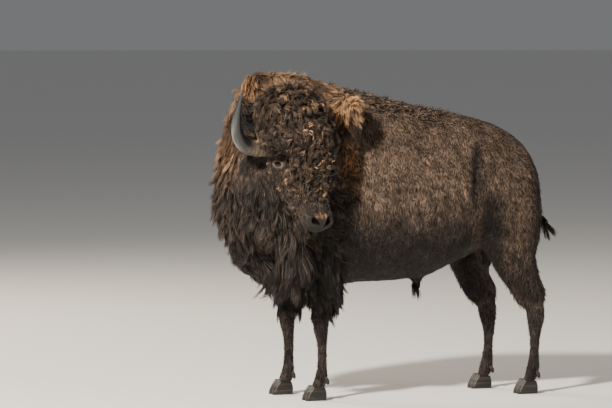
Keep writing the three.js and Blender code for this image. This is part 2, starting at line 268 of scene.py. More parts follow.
def edge_ends(mesh):
    """The two vertices of each edge."""
    return read(mesh.edges, "vertices", 2, np.int32)


def move_to(mesh, places):
    """Puts a mesh's vertices at new places."""
    mesh.vertices.foreach_set("co", places.astype(np.float32).ravel())
    mesh.update()


def spread(values, edges, times):
    """Values on the vertices, averaged with their neighbours a number of times."""
    count = np.bincount(edges.ravel(), minlength=len(values))
    blended = values.reshape(len(values), -1).copy()
    for _ in range(times):
        for column in range(blended.shape[1]):
            one = blended[:, column]
            total = np.bincount(edges[:, 0], one[edges[:, 1]], len(one))
            total += np.bincount(edges[:, 1], one[edges[:, 0]], len(one))
            blended[:, column] = (one + total) / (1 + count)
    return blended.reshape(values.shape)


def unit(vectors):
    """Vectors brought to length one."""
    return vectors / np.maximum(np.linalg.norm(vectors, axis=-1, keepdims=True), 1e-9)


def smoothstep(low, high, values):
    """0 below low, 1 above high, and a smooth ramp between."""
    share = np.clip((values - low) / (high - low), 0, 1)
    return share * share * (3 - 2 * share)


def fade(low, high, values):
    """1 below low, 0 above high, and a smooth ramp between."""
    return 1 - smoothstep(low, high, values)


solids = bmesh.new()
solid_kind = []
for node in [*FLESH, *UNDER_HORNY]:
    one = bmesh.new()
    one.from_mesh(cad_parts[node].data)
    bmesh.ops.remove_doubles(one, verts=one.verts, dist=SAME_PLACE)
    if node.startswith("horn"):
        side = 1 if node == "horn_left" else -1
        cut = POLL + TO_LEFT * side * HORN_CORE
        geometry = [*one.verts, *one.edges, *one.faces]
        bmesh.ops.bisect_plane(
            one, geom=geometry, plane_co=cut, plane_no=TO_LEFT * side, clear_outer=True
        )
        open_edges = [edge for edge in one.edges if edge.is_boundary]
        bmesh.ops.holes_fill(one, edges=open_edges, sides=0)
    bmesh.ops.triangulate(one, faces=one.faces)
    solid_kind += [KINDS.index(FLESH.get(node, "bare"))] * len(one.faces)
    solids.from_mesh(to_data("loose", one))
solids.faces.ensure_lookup_table()
solid_tree = BVHTree.FromBMesh(solids)
solid_kind = np.array(solid_kind)
joined = to_data("joined", solids)

# The cape's rear edge is ragged: the wool runs out over the flank in tongues.
CAPE_EDGE = -0.20
CAPE_EDGE_REACH = 0.10
CAPE_SLANT = 0.3
CAPE_TONGUES = ((0.030, 9.0, 0.0), (0.018, 23.0, 1.7), (0.010, 57.0, 0.6))


def kinds_near(points):
    """For each point, the number of the kind of coat on the solid face nearest to it."""
    asked = points.copy()
    height = points[:, 2] + CAPE_SLANT * points[:, 1]
    at_edge = np.abs(points[:, 0] - BODY.x - CAPE_EDGE) < CAPE_EDGE_REACH
    for reach, pace, start in CAPE_TONGUES:
        asked[:, 0] += reach * np.sin(pace * height + start) * at_edge
    return solid_kind[[solid_tree.find_nearest(Vector(point))[2] for point in asked]]


def behind_head(points):
    """How far points of the body's frame lie behind the turned head."""
    return 0.95 * points[:, 0] - 0.31 * points[:, 1]


# Take the even outer face in by the coat's depth, then make it even once more. The shoulder's
# wool is deeper at its rear, and round the eyes and on the crest the skin is near the surface.
REAR_WOOL_DEPTH = 0.026
CREST_DEPTH_CUT = 0.60
raw = evened(joined, FIRST_VOXEL)
raw_places = positions(raw)
raw_edges = edge_ends(raw)
raw_kinds = kinds_near(raw_places)
depth = np.array([COAT[kind][0] for kind in KINDS])[raw_kinds]
on_rear_wool = smoothstep(-0.11, -0.05, behind_head(raw_places - np.array(BODY)))
depth += (raw_kinds == KINDS.index("shoulder_wool")) * REAR_WOOL_DEPTH * on_rear_wool
eye_gaps = [np.linalg.norm(raw_places - np.array(eye), axis=1) for eye in eye_middle.values()]
off_eye = smoothstep(0.045, 0.130, np.min(eye_gaps, axis=0))
depth = spread(depth, raw_edges, 6) * (0.2 + 0.8 * off_eye)
raw_normals = unit(spread(vertex_normals(raw), raw_edges, 3))
facing_up = smoothstep(0.45, 0.85, raw_normals[:, 2])
depth *= 1 - CREST_DEPTH_CUT * facing_up * smoothstep(1.55, 1.70, raw_places[:, 2])
taken_in = spread(raw_places, raw_edges, 2) - raw_normals * depth[:, None]
move_to(raw, taken_in)
hide_data = evened(raw, LAST_VOXEL)
hide = bmesh.new()
hide.from_mesh(hide_data)
keep_largest(hide)

# The face needs a finer mesh than the trunk: halve the edges round the eyes and the muzzle.
FINE_PLACES = [
    (from_head((EYE_ALONG, 0.150, EYE_OUT)), 0.080, 2),
    (from_head((EYE_ALONG, -0.150, EYE_OUT)), 0.080, 2),
    (from_head((EYE_ALONG, 0.165, EYE_OUT)), 0.040, 1),
    (from_head((EYE_ALONG, -0.165, EYE_OUT)), 0.040, 1),
    (from_head((0.440, 0, -0.095)), 0.150, 1),
    (from_head((0.470, 0, -0.050)), 0.075, 1),
]
for centre, radius, times in FINE_PLACES:
    centre = Vector(centre)
    for _ in range(times):
        near = [e for e in hide.edges if all((v.co - centre).length < radius for v in e.verts)]
        bmesh.ops.subdivide_edges(hide, edges=near, cuts=1, use_grid_fill=True)
bmesh.ops.triangulate(hide, faces=hide.faces)
hide.to_mesh(hide_data)
hide.free()

hide_edges = edge_ends(hide_data)
place = spread(positions(hide_data), hide_edges, 3)
move_to(hide_data, place)
outwards = vertex_normals(hide_data)

# The coat's sizes over the skin, blended where two solids meet.
on_body = place - np.array(BODY)
on_head = in_head(place)
kind_share = np.eye(len(KINDS))[kinds_near(place)]
# The wool of the crown grows out round the foot of each horn.
HORN_FOOT = (0.204, 0.224)
aside_of_poll = np.abs(on_head[:, 1])
horn_foot = fade(*HORN_FOOT, aside_of_poll)
horn_foot *= kind_share[:, KINDS.index("bare")] * (aside_of_poll > 0.10) * (on_head[:, 0] < 0.045)
kind_share[:, KINDS.index("crown_wool")] += horn_foot
kind_share[:, KINDS.index("bare")] -= horn_foot
kind_share = spread(kind_share, hide_edges, 5)
coat = {}
for number, key in enumerate(COAT_KEYS):
    coat[key] = kind_share @ np.array([COAT[kind][number] for kind in KINDS])


def on(*kinds):
    """How far each place on the skin belongs to the kinds of coat named."""
    return sum(kind_share[:, KINDS.index(kind)] for kind in kinds)


def bump(values, centre, width):
    """1 at the centre, and a smooth fall to 0 on both sides of it."""
    return np.exp(-(((values - centre) / width) ** 2))


# Lids: the skin comes up over the eyeball as a low dome, stops at an almond-shaped opening, and
# has a crease or two round it.
EYE_RADIUS = 0.0245
SOCKET_RADIUS = EYE_RADIUS - 0.005
LID_THICKNESS = 0.0032
LID_FADE = (0.045, 0.080)
LID_SOFTNESS = 0.004
GAZE = unit(np.array((0.30, 0.86, 0.42)))
LID_LINE = np.array((0.78, 0.0, 0.62))
OPENING = (0.0230, 0.0155)  # half of its length and of its height
BROW_HEIGHT = 0.013
CREASES = ((1.75, 0.16, 0.0020), (2.45, 0.22, 0.0016))  # place in openings, width and depth
eye_frames = {}
from_eye = np.full(len(place), 1.0)
lid_rim = np.zeros(len(place))
for side, sign in (("left", 1), ("right", -1)):
    gaze = GAZE * np.array((1, sign, 1))
    corner_line = unit(LID_LINE - gaze * (LID_LINE @ gaze))
    upright = np.cross(gaze, corner_line) * -sign
    centre = in_head(np.array(eye_middle[side]))
    eye_frames[side] = (centre, gaze, corner_line, upright)
    arm = on_head - centre
    height = arm @ gaze
    flat_arm = arm - height[:, None] * gaze
    off_axis = np.linalg.norm(flat_arm, axis=1)
    near = (off_axis < LID_FADE[1]) & (height > -LID_FADE[0])
    raised = height + np.maximum(0, BROW_HEIGHT - height) * fade(*LID_FADE, off_axis)
    dome = np.sqrt(np.maximum((EYE_RADIUS + LID_THICKNESS) ** 2 - off_axis**2, 0))
    higher = (dome + raised + np.sqrt((dome - raised) ** 2 + LID_SOFTNESS**2)) / 2
    lid_height = dome + (higher - dome) * smoothstep(0.017, 0.026, off_axis)
    gap = np.hypot(flat_arm @ corner_line / OPENING[0], flat_arm @ upright / OPENING[1])
    for where, width, deep in CREASES:
        lid_height -= deep * bump(gap, where, width)
    spot = flat_arm + gaze * lid_height[:, None]
    reach = np.linalg.norm(spot, axis=1)
    inside = fade(0.90, 1.05, gap)
    spot *= (1 + inside * (SOCKET_RADIUS / reach - 1))[:, None]
    on_head = np.where(near[:, None], centre + spot, on_head)
    from_eye = np.minimum(from_eye, np.linalg.norm(on_head - centre, axis=1))
    pale = smoothstep(0.95, 1.05, gap) * fade(1.15, 1.85, gap) * near
    lid_rim = np.maximum(lid_rim, pale)

# Nostrils, the band of hair above them, the line of the mouth, the upper lip that swells over it,
# and the bare pad between. Levels are measured out of the brow.
NOSTRIL = {"along": 0.455, "side": 0.033, "out": -0.040, "long": 0.027, "wide": 0.012}
NOSTRIL_DEPTH = 0.024
NOSTRIL_SLOPE = (0.97, 0.24)
NOSTRIL_BEND = 10.0
NOSTRIL_RIM = 0.005
NOSE_BAND = (-0.017, 0.010)
NOSE_BAND_HEIGHT = 0.004
LIP_LEVEL = -0.122
LIP_HEIGHT = 0.004
LIP_GROOVE = 0.004
MOUTH_LEVEL = -0.141
MOUTH_DEPTH = 0.009
FACE_MIDDLE = np.array((0.2, 0, -0.05))
FACE_REACH = 0.42
along, to_side, out = on_head.T
on_muzzle = smoothstep(0.1, 0.4, on("muzzle", "jaw"))
pad_front = smoothstep(NOSTRIL["along"] - 0.02, NOSTRIL["along"] + 0.01, along) * on_muzzle
push = np.zeros(len(place))
in_nostril = np.zeros(len(place))
for sign in (1, -1):
    over = sign * to_side - NOSTRIL["side"]
    above = out - NOSTRIL["out"]
    lengthwise = NOSTRIL_SLOPE[0] * over + NOSTRIL_SLOPE[1] * above
    crosswise = NOSTRIL_SLOPE[0] * above - NOSTRIL_SLOPE[1] * over + NOSTRIL_BEND * lengthwise**2
    wide = NOSTRIL["wide"] * (1 + 0.45 * np.clip(lengthwise / NOSTRIL["long"], -1, 1))
    ring = np.hypot(lengthwise / NOSTRIL["long"], crosswise / wide)
    hole = fade(0.70, 1.10, ring) * pad_front
    push += NOSTRIL_RIM * (bump(ring, 1.5, 0.35) * pad_front)
    push -= NOSTRIL_DEPTH * hole
    in_nostril = np.maximum(in_nostril, hole)
# The band of hair above the nostrils is raised and painted tan: partly tan hair, partly a painted
# highlight on its top edge.
nose_band_tan_and_highlight = bump(out, *NOSE_BAND) * pad_front
nose_band_tan_and_highlight *= fade(0.060, 0.080, np.abs(to_side)) * (1 - in_nostril)
push += NOSE_BAND_HEIGHT * nose_band_tan_and_highlight
push -= LIP_GROOVE * bump(to_side, 0, 0.005) * pad_front * smoothstep(0.050, 0.070, -out)
mouth = bump(out, MOUTH_LEVEL, 0.006) * smoothstep(0.33, 0.37, along) * on_muzzle
push += LIP_HEIGHT * bump(out, LIP_LEVEL, 0.010) * pad_front - MOUTH_DEPTH * mouth
leather = smoothstep(0.445, 0.465, along) * smoothstep(-0.116, -0.098, out)
leather *= fade(-0.034, -0.024, out)
leather *= (1 - nose_band_tan_and_highlight) * on_muzzle
face_out = unit(outwards @ HEAD_AXES.T)
on_head = on_head + face_out * push[:, None]
face = smoothstep(0.02, 0.30, on("head", "muzzle", "jaw", "bare"))
in_reach = np.linalg.norm(on_head - FACE_MIDDLE, axis=1) < FACE_REACH
place = np.where(in_reach[:, None], from_head(on_head), place)

# Folds and hollows of the trunk: fine upright wrinkles, the ribs, the point of the hip and the
# fold of skin in front of the thigh.
WRINKLE_PITCHES = (0.047, 0.029)
WRINKLE_HEIGHT = 0.0009
RIB_PITCH = 0.085
RIB_HEIGHT = 0.003
FOLD_DEPTH = 0.012
SWELLINGS = (  # centre on the left side, radius and height
    ((0.60, 0.30, 1.40), 0.09, 0.020),
    ((0.84, 0.20, 1.28), 0.09, 0.014),
    ((0.44, 0.33, 1.33), 0.09, -0.018),
    ((0.42, 0.36, 1.12), 0.09, 0.010),
    ((0.60, 0.33, 0.90), 0.06, -0.024),
    ((0.68, 0.33, 1.05), 0.12, 0.016),
)
short = on("barrel", "hindquarters", "hindleg_upper")
x, y, z = on_body.T
warp = 0.030 * np.sin(9.0 * z + 3.0 * y) + 0.018 * np.sin(23.0 * z + 1.3)
warp += 0.012 * np.sin(31 * x + 17 * z)
wrinkle = np.sin(2 * np.pi * (x + warp) / WRINKLE_PITCHES[0]) * np.sin(11 * z + 7 * x)
wrinkle += np.sin(2 * np.pi * (x - 0.7 * warp) / WRINKLE_PITCHES[1])
wrinkle *= WRINKLE_HEIGHT * smoothstep(0.72, 0.85, z) * fade(1.15, 1.40, z)
ribs = RIB_HEIGHT * np.sin(2 * np.pi * (x + 0.25 * z) / RIB_PITCH)
ribs *= smoothstep(0.0, 0.15, x)
ribs *= fade(0.35, 0.50, x)
ribs *= smoothstep(0.80, 0.95, z) * fade(1.20, 1.35, z)
swell = np.zeros(len(place))
for centre, radius, height in SWELLINGS:
    gap = np.linalg.norm(np.column_stack((x, np.abs(y), z)) - np.array(centre), axis=1)
    swell += height * bump(gap, 0, radius)
fold_x = 0.484 + 0.27 * (z - 1.219)
fold = bump(x, fold_x, 0.020) * smoothstep(1.02, 1.16, z) * fade(1.36, 1.46, z)
place = place + outwards * ((wrinkle + ribs + swell - FOLD_DEPTH * fold) * short)[:, None]

move_to(hide_data, place)
outwards = vertex_normals(hide_data)

# The lie of the coat: the way that the hair points along the skin, for each kind, blended.
nose, left, brow = HEAD_AXES
down = np.array((0, 0, -1.0))
LIE = {
    "crown_wool": 0.55 * nose + 0.75 * down,
    "head": 0.35 * nose + 0.9 * down,
    "muzzle": -0.8 * nose + 0.2 * down,
    "jaw": 0.2 * nose + down,
    "neck": (0.30, 0, -1.0),
    "throat_mane": (0.05, 0, -1.0),
    "shoulder_wool": (0.45, -0.25, -0.9),
    "forequarters": (0.8, 0, -0.7),
    "foreleg_upper": (0.25, 0, -1.0),
    "barrel": (0.45, 0, -1.0),
    "hindquarters": (0.45, 0, -1.0),
    "hindleg_upper": (0.25, 0, -1.0),
    "leg_lower": (0.12, 0, -1.0),
    "tail": (0.05, 0, -1.0),
    "tail_tuft": (0.75, 0, -0.75),
}
LEFT_EAR_LIE = 0.70 * nose + 0.55 * left
RIGHT_EAR_LIE = 0.25 * nose - 0.50 * left - 0.82 * brow
lie = kind_share @ np.array([LIE.get(kind, down) for kind in KINDS])
ear_lie = np.where((on_head[:, 1] > 0)[:, None], LEFT_EAR_LIE, RIGHT_EAR_LIE)
lie += on("ear")[:, None] * (unit(ear_lie) - down)
foot_lie = np.sign(on_head[:, 1:2]) * left + 0.4 * down
lie += spread(horn_foot, hide_edges, 3)[:, None] * 4 * foot_lie
lie -= outwards * (lie * outwards).sum(1, keepdims=True)
lie = spread(unit(lie), hide_edges, 4)
lie = unit(lie - outwards * (lie * outwards).sum(1, keepdims=True))

# Where the coat differs within one solid: the crest of wool down the spine, the bare ring
# round the eyes, and the pads that have no hair at all.
SPINE_X = (-0.60, -0.33, -0.06, 0.23, 0.46, 0.66, 0.82)
SPINE_Z = (1.83, 1.772, 1.692, 1.628, 1.592, 1.545, 1.47)
CREST_COAT = {"length": 0.045, "width": 0.008, "rise": 30.0, "curl": 0.25, "spacing": 0.0095}
below_spine = np.interp(x, SPINE_X, SPINE_Z) - z
crest = fade(0.05, 0.14, below_spine) * fade(0.30, 0.52, x) * on("barrel")
for key, value in CREST_COAT.items():
    coat[key] += crest * (value - coat[key])
rear_gap = behind_head(on_body)
wool_rear = on("shoulder_wool") * smoothstep(-0.13, -0.07, rear_gap)
wool_top = on("crown_wool") * smoothstep(1.56, 1.66, z)
# The root and the point of each ear, which the hair round it leaves free.
EAR_LINES = (
    ((-0.020, 0.130, -0.060), (0.126, 0.250, -0.086)),
    ((-0.030, -0.140, -0.060), (0.024, -0.248, -0.236)),
)
ear_gap = np.full(len(place), 1.0)
for start, end in np.array(EAR_LINES):
    way = end - start
    along_ear = np.clip((on_head - start) @ way / (way @ way), 0, 1)
    gap = np.linalg.norm(on_head - start - along_ear[:, None] * way, axis=1)
    ear_gap = np.minimum(ear_gap, gap)
round_ear = fade(0.055, 0.120, ear_gap) * (1 - on("ear"))
round_eye = fade(0.034, 0.110, from_eye)
# What each of these places takes off the tufts' sizes, as shares.
TRIMS = (
    (wool_rear, {"length": 0.50, "rise": 0.55}),
    (wool_top, {"length": -0.35, "curl": 0.65}),
    (round_ear, {"length": 0.74, "rise": 0.65}),
    (round_eye, {"length": 0.84, "width": 0.55, "rise": 0.70, "curl": 1.00}),
)
for where, trims in TRIMS:
    for key, trim in trims.items():
        coat[key] *= 1 - trim * where
lidded = (from_eye < 0.034) * 1.0
bald = np.maximum.reduce([on("bare") * 1.6, leather * 1.5, in_nostril * 2, lidded, mouth])

# Markings, the same for the skin and the hair that grows from it: tan wool on the cape and the
# crest, rust hair with painted rim light where the coat faces ahead, and black below, partly with
# painted shade.
cape = on("forequarters", "shoulder_wool", "neck")
# The shoulder wool is tan where it faces up: partly tan wool, partly painted top light. Away from
# that top it is darker as painted shade.
facing_up = smoothstep(-0.45, 0.25, outwards[:, 2])
tan_and_lit_wool_top = facing_up * smoothstep(1.46, 1.56, z) * fade(-0.13, -0.08, rear_gap)
tan = on("forequarters") * smoothstep(1.40, 1.78, z) * 0.50 + crest * 0.16
tan = np.maximum(tan, 0.85 * on("shoulder_wool") * tan_and_lit_wool_top)
tan = np.maximum(tan, on("muzzle") * nose_band_tan_and_highlight * 1.3)

# The neck is rust where it faces ahead, and the fringe behind the face is rust: partly rust hair,
# partly painted rim light.
ahead = -outwards[:, 0]
rim_lit_neck_front = smoothstep(0.50, 0.95, ahead) * smoothstep(1.38, 1.62, z)
rim_lit_neck_edge = 0.45 * smoothstep(0.80, 1.00, ahead) * smoothstep(1.15, 1.40, z)
fringe = bump(x, -0.26, 0.055) * smoothstep(1.05, 1.25, z) * fade(1.42, 1.52, z)
rust_and_rim_light = on("neck") * np.maximum(rim_lit_neck_front, rim_lit_neck_edge)
rust_and_rim_light = np.maximum(rust_and_rim_light, 0.08 * on("crown_wool"))
rust_and_rim_light = np.maximum(rust_and_rim_light, 0.9 * fringe * cape)

# The barrel is darker towards the belly, partly dark hair and partly painted shade. Round the ear
# the coat is darkened as painted shade.
lower_body = fade(0.86, 1.18, z)
lower_cape = fade(1.15, 1.50, z)
lower_thigh = fade(0.52, 1.00, z)
painted_ear_shade = fade(0.040, 0.085, ear_gap)
dark_areas = [
    on("crown_wool") * 0.62,
    on("shoulder_wool") * (1 - tan_and_lit_wool_top) * 0.22,
    on("muzzle") * (0.80 - 0.80 * nose_band_tan_and_highlight),
    on("head", "jaw") * 0.80,
    on("ear"),
    on("head", "neck", "jaw") * painted_ear_shade,
    on("beard", "throat_mane", "foreleg_upper"),
    on("neck", "forequarters") * lower_cape * 0.85,
    on("barrel") * (0.14 + 0.86 * lower_body),
    crest * 0.45,
    on("hindquarters", "hindleg_upper") * (0.26 + 0.60 * lower_thigh),
    on("leg_lower", "tail_tuft", "sheath", "tail", "scrotum"),
]
# The groove and the hollow in front of the thigh, the buttock and the belly are nearly black:
# partly dark hair, partly painted shade in the creases and under the body.
groove = bump(x - fold_x, -0.004, 0.030) * smoothstep(0.98, 1.12, z)
groove *= fade(1.36, 1.46, z) * short
thigh_hollow = bump(x - 0.575, 0.10 * (1.0 - z), 0.080) * fade(1.06, 1.22, z) * short
buttock = smoothstep(0.74, 0.88, x) * fade(1.15, 1.40, z) * short
dark = np.maximum.reduce([*dark_areas, groove, 0.95 * thigh_hollow, 0.80 * buttock])
# Painted shadow: the hair in the shade behind the right horn is painted black, and the crest
# before it is painted tan and rust, partly its own hair and partly painted rim light.
HORN_SHADOW_MIDDLE = (-0.785, -0.150, 1.575)
horn_shadow = bump(np.linalg.norm(on_body - HORN_SHADOW_MIDDLE, axis=1), 0, 0.115)
# Painted rim light on the crest before the horn, over its tan and rust hair.
rim_lit_crest = on("neck", "forequarters") * smoothstep(0.66, 0.78, -x)
rim_lit_crest *= smoothstep(1.66, 1.74, z)
dark = np.maximum(dark * (1 - 0.6 * rim_lit_crest), horn_shadow)
tan = np.maximum(tan * (1 - horn_shadow), 0.8 * rim_lit_crest)
rust_and_rim_light = np.maximum(rust_and_rim_light * (1 - horn_shadow), 0.8 * rim_lit_crest)
# Painted shade: the coat is painted darker still in the groove and the hollow before the thigh, on
# the buttock, under the belly, low on the chest and forelegs, under the jaw and behind the right
# horn.
low_front = on("throat_mane", "foreleg_upper", "forequarters")
low_front *= fade(0.85, 1.12, z)
belly = on("barrel", "hindquarters") * fade(0.80, 1.06, z)
under_jaw = on("jaw", "throat_mane") * smoothstep(0.30, 0.40, on_head[:, 0])
under_jaw *= fade(-0.20, -0.12, on_head[:, 2])
painted_shade_depths = [
    0.85 * groove,
    0.75 * thigh_hollow,
    0.30 * buttock,
    0.50 * belly,
    0.50 * low_front,
    0.70 * under_jaw,
    0.60 * horn_shadow,
]
painted_shade_factor = 1 - spread(np.maximum.reduce(painted_shade_depths).clip(0, 1), hide_edges, 3)
markings = np.column_stack((tan, rust_and_rim_light, dark)).clip(0, 1)
markings = spread(markings, hide_edges, 3)

# The share of locks whose points are straw-coloured, partly burrs and partly painted highlights on
# sunlit tips, and how much a tuft's shade varies along it: long hair is dark at the root as
# painted shade deep in the coat and pale at the point, short hair is of one shade.
bleached = on("crown_wool") * (0.06 + 0.20 * smoothstep(-0.18, -0.03, on_head[:, 1]))
bleached += on("head") * 0.05 + on("shoulder_wool") * tan_and_lit_wool_top * 0.12
coat["contrast"] = smoothstep(0.030, 0.075, coat["length"])


class Value:
    """A shader socket as a number: its operators add Math nodes to the finish that it is in."""

    def __init__(self, finish, socket):
        self.finish = finish
        self.socket = socket

    def math(self, operation, *terms):
        """One Math node on the terms."""
        inputs = dict(enumerate(terms))
        return self.finish.add("Math", {"operation": operation}, inputs)

    def __add__(self, other):
        return self.math("ADD", self, other)

    def __sub__(self, other):
        return self.math("SUBTRACT", self, other)

    def __rsub__(self, other):
        return self.math("SUBTRACT", other, self)

    def __mul__(self, other):
        return self.math("MULTIPLY", self, other)

    def __pow__(self, other):
        return self.math("POWER", self, other)

    __radd__ = __add__
    __rmul__ = __mul__

    def ramp(self, low, high):
        """0 below low, 1 above high."""
        spans = {"Value": self, "From Min": low, "From Max": high}
        return self.finish.add("MapRange", {"interpolation_type": "SMOOTHSTEP"}, spans)


class Finish:
    """A material being made, one node at a time, round its Principled shader."""

    def __init__(self, name, **constants):
        self.material = bpy.data.materials.new(name)
        self.material.use_nodes = True
        self.tree = self.material.node_tree
        self.shader = self.tree.nodes["Principled BSDF"]
        for socket, value in constants.items():
            self.feed(self.shader.inputs[socket.replace("_", " ")], value)

    def feed(self, socket, value):
        """Gives a socket a link or a constant."""
        if isinstance(value, Value):
            self.tree.links.new(value.socket, socket)
        else:
            socket.default_value = value

    def add(self, kind, settings=None, inputs=None, output=0):
        """Adds a node, its settings first, and returns one of its outputs."""
        node = self.tree.nodes.new("ShaderNode" + kind)
        for name, value in (settings or {}).items():
            setattr(node, name, value)
        for name, value in (inputs or {}).items():
            self.feed(node.inputs[name], value)
        return Value(self, node.outputs[output])

    def attribute(self, name, output="Vector"):
        """What a mesh has stored under a name."""
        return self.add("Attribute", {"attribute_name": name}, output=output)

    def parts(self, vector):
        """The three numbers of a vector."""
        split = self.add("SeparateXYZ", inputs={0: vector})
        return [Value(self, socket) for socket in split.socket.node.outputs]

    def mix(self, first, second, share):
        """A blend of two colours."""
        return self.add("Mix", {"data_type": "RGBA"}, {0: share, 6: first, 7: second}, output=2)

    def scaled(self, colour, amount):
        """A colour made lighter or darker by an amount."""
        return self.add("VectorMath", {"operation": "SCALE"}, {0: colour, "Scale": amount})

    def noise(self, place, scale, detail=2.0, roughness=0.5):
        """Soft random patches, so many to a metre."""
        inputs = {"Vector": place, "Scale": scale, "Detail": detail, "Roughness": roughness}
        return self.add("TexNoise", inputs=inputs)

    def surface(self, **links):
        """Feeds the shader's sockets and returns the finished material."""
        for socket, value in links.items():
            self.feed(self.shader.inputs[socket.replace("_", " ")], value)
        return self.material


BROWN = (0.072, 0.048, 0.033, 1)
TAN = (0.290, 0.162, 0.080, 1)
RUST_AND_RIM_LIGHT = (0.250, 0.118, 0.048, 1)
BLACK = (0.0200, 0.0150, 0.0130, 1)
STRAW_BURR_AND_HIGHLIGHT = (0.300, 0.180, 0.090, 1)
LEATHER = (0.022, 0.020, 0.020, 1)
PALE_LID = (0.150, 0.115, 0.095, 1)
NOSTRIL_SHADE_BLACK = (0.0015, 0.0012, 0.0012, 1)
# How many to a metre of each kind of mark in the coat, and how strong each is.
PATCHES, PATCH_STRENGTH = 7.0, 1.2
BENDS = 9.0
BLOTCHES, BLOTCH_STRENGTH = 26.0, 2.2
STREAKS, STREAK_STRENGTH = 135.0, 4.0
DARKEST = 0.12


def fur_colour(finish):
    """The colour of hair or skin at a root's place, from the markings that it carries."""
    root = finish.attribute("root_place")
    tan_share, rust_and_rim_share, dark_share = finish.parts(finish.attribute("markings"))
    reach, tone_and_painted_shade, bleach = finish.parts(finish.attribute("tuft"))
    patches = finish.noise(root, PATCHES, 3.0)
    tan_here = (tan_share + (patches - 0.5) * 0.5 * tan_share).ramp(0.05, 0.95)
    colour = finish.mix(BROWN, TAN, tan_here)
    colour = finish.mix(colour, RUST_AND_RIM_LIGHT, rust_and_rim_share)
    colour = finish.mix(colour, BLACK, dark_share)
    # Straw-coloured tips: partly burrs, partly painted highlights on sunlit tips.
    colour = finish.mix(colour, STRAW_BURR_AND_HIGHLIGHT, bleach * reach.ramp(0.30, 0.85))
    # Painted shade: the coat is darker towards each hair's root, as shade deep in the coat, and
    # the tone carries the painted shade of the hollows.
    light = (reach * 1.2 + 0.30) * (tone_and_painted_shade * 1.4 + 0.30)
    bend_inputs = {"Vector": root, "Scale": BENDS, "Detail": 1.0}
    bend = finish.add("TexNoise", inputs=bend_inputs, output="Color")
    shift = {0: bend, 1: (0.06, 0.06, 0.06), 2: root}
    bent = finish.add("VectorMath", {"operation": "MULTIPLY_ADD"}, shift)
    upright = finish.add("Mapping", inputs={"Vector": bent, "Scale": (1.0, 0.7, 0.20)})
    streaks = finish.noise(upright, STREAKS, 2.0, 0.62)
    blotches = finish.noise(bent, BLOTCHES, 3.0, 0.6)
    shade = (streaks - 0.5) * STREAK_STRENGTH + 1.0
    shade = shade * ((blotches - 0.5) * BLOTCH_STRENGTH + 1.0) * (patches * PATCH_STRENGTH + 0.4)
    brightness = (light * shade).math("MAXIMUM", light * shade, DARKEST) ** 1.5
    return finish.scaled(colour, brightness), root, streaks


skin_finish = Finish("skin_and_short_fur", Roughness=0.62, Specular_IOR_Level=0.14)
skin_colour, skin_place, skin_streaks = fur_colour(skin_finish)
bare_share, lid_share, nostril_shade_share = skin_finish.parts(skin_finish.attribute("bare_skin"))
skin_colour = skin_finish.mix(skin_colour, LEATHER, bare_share)
skin_colour = skin_finish.mix(skin_colour, PALE_LID, lid_share)
# Painted shade: the inside of each nostril is mixed to near black.
skin_colour = skin_finish.mix(skin_colour, NOSTRIL_SHADE_BLACK, nostril_shade_share)
hair_turn = (0, math.radians(-70), 0)
hair_inputs = {"Vector": skin_place, "Scale": (40, 40, 11), "Rotation": hair_turn}
fine_hair = skin_finish.add("Mapping", inputs=hair_inputs)
hair_streaks = skin_finish.noise(fine_hair, 4.0, 3.0, 0.6)
pebbles = skin_finish.add("TexVoronoi", inputs={"Vector": skin_place, "Scale": 260.0})
relief = (hair_streaks * 0.4 + skin_streaks) * (1 - bare_share) + pebbles * bare_share * 0.5
skin_bump = skin_finish.add("Bump", inputs={"Height": relief, "Distance": 0.012, "Strength": 0.8})
skin_roughness = 0.66 - bare_share * 0.28 + nostril_shade_share * 0.30
skin_material = skin_finish.surface(
    Base_Color=skin_colour, Normal=skin_bump, Roughness=skin_roughness
)


def finished(name, data, material):
    """A smooth object of one material, in the scene."""
    data.materials.append(material)
    data.shade_smooth()
    return added(name, data)


def give(mesh, name, values):
    """Stores a vector for each vertex under a name that materials read."""
    layer = mesh.attributes.new(name, "FLOAT_VECTOR", "POINT")
    layer.data.foreach_set("vector", np.ascontiguousarray(values, np.float32).ravel())


LID_PALENESS = 0.62
shown = fade(0.030, 0.070, coat["length"])
give(hide_data, "root_place", place)
give(hide_data, "markings", markings)
# Painted shade: the skin is darker where long hair covers it, and on the face, as the shade under
# the coat.
skin_reach = 0.1 + (0.45 - 0.22 * face * (1 - nose_band_tan_and_highlight)) * shown
give(hide_data, "tuft", np.column_stack((skin_reach, 0.5 * painted_shade_factor, np.zeros(len(place)))))
bare_leather = (leather * (1 - in_nostril)).clip(0, 1)
# Painted shade: the inside of each nostril is painted near black.
nostril_shade = smoothstep(0.10, 0.55, in_nostril)
give(hide_data, "bare_skin", np.column_stack((bare_leather, LID_PALENESS * lid_rim, nostril_shade)))
hide_data.materials.clear()
skin = finished("skin", hide_data, skin_material)
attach(skin, "root")
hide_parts(*FLESH)

# ---------- coat ----------
# The bull's hair, from curled wool to long locks and short flat hair. Every tuft is a thin closed
# blade with a three-sided section, rooted in the skin. It rises, bends under its weight, curls,
# and draws together with its neighbours into locks.

corners = read(hide_data.loops, "vertex_index", 1, np.int32).reshape(-1, 3)
face_sides = place[corners[:, 1:]] - place[corners[:, :1]]
face_area = np.linalg.norm(np.cross(face_sides[:, 0], face_sides[:, 1]), axis=1) / 2
face_kind = kind_share[corners].mean(1).argmax(1)
face_bald = bald[corners].mean(1)
face_spacing = coat["spacing"][corners].mean(1)
face_roots = face_area / face_spacing**2 * (face_bald < 0.5)

